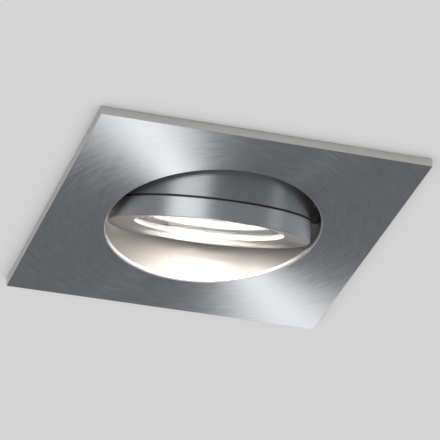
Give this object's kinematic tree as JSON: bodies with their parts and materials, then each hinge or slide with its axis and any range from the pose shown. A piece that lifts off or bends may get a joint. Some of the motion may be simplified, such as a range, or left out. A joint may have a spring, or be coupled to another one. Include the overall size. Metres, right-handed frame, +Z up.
{
  "type": "soffit downlight",
  "caption": "Square recessed soffit downlight in brushed aluminium; a round head behind glass tilts in its collar, held in the ceiling by sprung clip arms.",
  "frame": {"origin": "centre of the trim plate's back face, which lies on the ceiling's visible surface; the light opening's axis passes through it", "axes": "+Z up into the ceiling; +X along the head's tilt axis; +Y towards the side that the tilted head shines to, so the near edge of the plate in the picture is at -Y"},
  "size_m": [0.1, 0.1468, 0.0881],
  "materials": {
    "brushed_aluminium": "turned and brushed in fine concentric lines, satin",
    "zinc_steel": "zinc plated, dull",
    "spring_steel": "hardened spring steel, nickel plated",
    "black_rubber": "matt",
    "red_silicone": "satin silicone",
    "clear_glass": "polished, clear",
    "mirror_glass": "faceted mirror coat inside, bare pressed glass outside",
    "filament_wire": "drawn metal wire",
    "steatite": "unglazed, fine grained",
    "silicone_sleeving": "braided glass sleeving soaked in silicone",
    "white_plastic": "moulded, fine texture",
    "terminal_plastic": "moulded, natural polyamide",
    "brass": "turned",
    "grey_nylon": "turned, matt"
  },
  "bodies": {
    "fixture": {"trim_plate": "brushed_aluminium", "weld_studs": "zinc_steel", "ceiling_gasket": "black_rubber", "collar": "brushed_aluminium", "stud_washers": "zinc_steel", "stud_nuts": "zinc_steel", "front_clip_bracket": "zinc_steel", "rear_clip_bracket": "zinc_steel", "front_clip_spring": "spring_steel", "rear_clip_spring": "spring_steel", "clip_pins": "zinc_steel", "foot_rivets": "zinc_steel", "holder_leads": "silicone_sleeving", "terminal_bracket": "zinc_steel", "terminal_box": "white_plastic", "box_screws": "zinc_steel", "terminal_block": "terminal_plastic", "terminal_screws": "brass", "cable_clamp": "white_plastic", "clamp_screws": "zinc_steel", "inlet_grommet": "black_rubber", "terminal_lid": "white_plastic", "lid_screws": "zinc_steel"},
    "head": {"head_body": "brushed_aluminium", "ring_seal": "black_rubber", "pivot_screws": "zinc_steel", "pivot_spacers": "grey_nylon", "pivot_spring_washers": "spring_steel", "lamp_circlip": "spring_steel", "lamp_reflector": "mirror_glass", "lamp_cover_glass": "clear_glass", "lamp_capsule": "clear_glass", "lamp_filament": "filament_wire", "lamp_base": "steatite", "lamp_pins": "filament_wire", "lamp_holder": "steatite"},
    "bezel": {"front_bezel": "brushed_aluminium", "front_glass": "clear_glass", "glass_gasket": "black_rubber"},
    "front_clip": {"front_clip_arm": "spring_steel", "front_arm_sleeve": "red_silicone"},
    "rear_clip": {"rear_clip_arm": "spring_steel", "rear_arm_sleeve": "red_silicone"}
  },
  "joints": [
    {"name": "head_tilt", "type": "hinge", "parent": "fixture", "child": "head", "pos_m": [0, 0, 0.0077], "axis": [1, 0, 0], "range_deg": [-55.2, 4.8], "deforming": ["holder_leads"]},
    {"name": "bezel_turn", "type": "hinge", "parent": "head", "child": "bezel", "pos_m": [0, 0, 0.0077], "axis": [0, 0.4258, -0.9048], "range_deg": [0, 25]},
    {"name": "front_clip_hinge", "type": "hinge", "parent": "fixture", "child": "front_clip", "pos_m": [0, -0.0383, 0.014], "axis": [-1, 0, 0], "range_deg": [0, 104], "stiffness_Nm_per_rad": 0.1, "springref_deg": -34.38, "deforming": ["front_clip_spring"]},
    {"name": "rear_clip_hinge", "type": "hinge", "parent": "fixture", "child": "rear_clip", "pos_m": [0, 0.0383, 0.014], "axis": [1, 0, 0], "range_deg": [0, 104], "stiffness_Nm_per_rad": 0.1, "springref_deg": -34.38, "deforming": ["rear_clip_spring"]}
  ]
}
